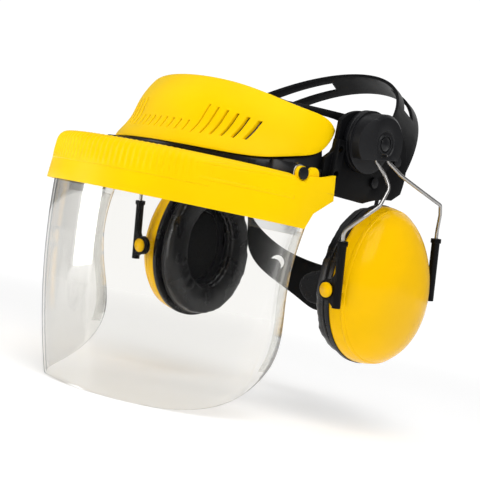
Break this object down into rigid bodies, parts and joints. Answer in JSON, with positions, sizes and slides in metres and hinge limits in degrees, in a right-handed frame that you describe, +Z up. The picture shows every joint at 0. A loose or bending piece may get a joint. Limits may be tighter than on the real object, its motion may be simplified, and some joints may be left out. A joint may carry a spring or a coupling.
{
  "type": "brow guard with face screen and ear muffs",
  "caption": "Forehead guard on an adjustable headband, with a flip-up clear face screen and ear muffs on sliding wire arms.",
  "frame": {"origin": "midway between the two ear muff hubs, on the line that joins them", "axes": "+X to the wearer's left, -Y to the wearer's front, +Z up"},
  "size_m": [0.2114, 0.2528, 0.2278],
  "materials": {
    "yellow_cover": "satin moulded plastic",
    "yellow_cup": "glossy moulded plastic",
    "black_plastic": "satin black",
    "clear_screen": "clear polycarbonate",
    "foam_grey": "soft foam",
    "cushion_black": "soft PVC skin",
    "wire_steel": "drawn spring wire",
    "rivet_steel": "brushed"
  },
  "bodies": {
    "headgear": {"forehead_cover": "yellow_cover", "forehead_shell": "black_plastic", "front_headband": "black_plastic", "brow_sweatband": "foam_grey", "rear_band": "black_plastic", "ratchet_housing": "black_plastic", "ratchet_plate": "black_plastic", "nape_pad": "foam_grey", "friction_washers": "rivet_steel", "side_plate_left": "black_plastic", "side_plate_right": "black_plastic", "hub_base_left": "black_plastic", "hub_base_right": "black_plastic", "hub_rivet_left": "rivet_steel", "hub_rivet_right": "rivet_steel", "band_rivets_left": "rivet_steel", "band_rivets_right": "rivet_steel", "nape_strap_left": "black_plastic", "nape_strap_right": "black_plastic", "visor_pin_left": "black_plastic", "visor_pin_right": "black_plastic"},
    "visor": {"visor_frame": "yellow_cover", "visor_screen": "clear_screen", "screen_clip_left": "clear_screen", "screen_clip_right": "clear_screen"},
    "hub_left": {"hub_left": "black_plastic"},
    "arm_left": {"arm_wire_left": "wire_steel"},
    "sleeves_left": {"sleeve_front_left": "black_plastic", "sleeve_rear_left": "black_plastic"},
    "muff_left": {"cup_shell_left": "yellow_cup", "cup_plate_left": "black_plastic", "cushion_left": "cushion_black", "cup_foam_left": "foam_grey"},
    "hub_right": {"hub_right": "black_plastic"},
    "arm_right": {"arm_wire_right": "wire_steel"},
    "sleeves_right": {"sleeve_front_right": "black_plastic", "sleeve_rear_right": "black_plastic"},
    "muff_right": {"cup_shell_right": "yellow_cup", "cup_plate_right": "black_plastic", "cushion_right": "cushion_black", "cup_foam_right": "foam_grey"},
    "knob": {"ratchet_knob": "black_plastic", "ratchet_pinion": "black_plastic"},
    "tongue_left": {"rack_tongue_left": "black_plastic"},
    "tongue_right": {"rack_tongue_right": "black_plastic"}
  },
  "joints": [
    {"name": "visor_tilt", "type": "hinge", "parent": "headgear", "child": "visor", "pos_m": [0, -0.051, -0.0275], "axis": [-1, 0, 0], "range_deg": [0, 80]},
    {"name": "hub_swivel_left", "type": "hinge", "parent": "headgear", "child": "hub_left", "pos_m": [0.092, 0, 0], "axis": [1, 0, 0], "range_deg": [-10, 4]},
    {"name": "arm_flip_left", "type": "hinge", "parent": "hub_left", "child": "arm_left", "pos_m": [0.095, 0.00449, -0.00435], "axis": [0, -0.9876, -0.1573], "range_deg": [0, 20]},
    {"name": "muff_height_left", "type": "slide", "parent": "arm_left", "child": "sleeves_left", "axis": [0, 0.1573, -0.9876], "range_m": [0, 0.016]},
    {"name": "muff_tilt_left", "type": "hinge", "parent": "sleeves_left", "child": "muff_left", "pos_m": [0.0846, 0.03944, -0.08232], "axis": [0, -0.9876, -0.1573], "range_deg": [-6, 3]},
    {"name": "hub_swivel_right", "type": "hinge", "parent": "headgear", "child": "hub_right", "pos_m": [-0.092, 0, 0], "axis": [1, 0, 0], "range_deg": [-10, 4]},
    {"name": "arm_flip_right", "type": "hinge", "parent": "hub_right", "child": "arm_right", "pos_m": [-0.095, 0.00449, -0.00435], "axis": [0, 0.9876, 0.1573], "range_deg": [0, 20]},
    {"name": "muff_height_right", "type": "slide", "parent": "arm_right", "child": "sleeves_right", "axis": [0, 0.1573, -0.9876], "range_m": [0, 0.016]},
    {"name": "muff_tilt_right", "type": "hinge", "parent": "sleeves_right", "child": "muff_right", "pos_m": [-0.0846, 0.03944, -0.08232], "axis": [0, 0.9876, 0.1573], "range_deg": [-6, 3]},
    {"name": "ratchet_turn", "type": "hinge", "parent": "headgear", "child": "knob", "pos_m": [0, 0.1, -0.0935], "axis": [0, 1, 0], "range_deg": [-90, 90]},
    {"name": "tongue_slide_left", "type": "slide", "parent": "headgear", "child": "tongue_left", "axis": [1, 0, 0], "range_m": [-0.008, 0.008]},
    {"name": "tongue_slide_right", "type": "slide", "parent": "headgear", "child": "tongue_right", "axis": [-1, 0, 0], "range_m": [-0.008, 0.008]}
  ],
  "couplings": [
    {"joint": "tongue_slide_left", "follows": "ratchet_turn", "m_per_rad": 0.005},
    {"joint": "tongue_slide_right", "follows": "ratchet_turn", "m_per_rad": 0.005}
  ]
}
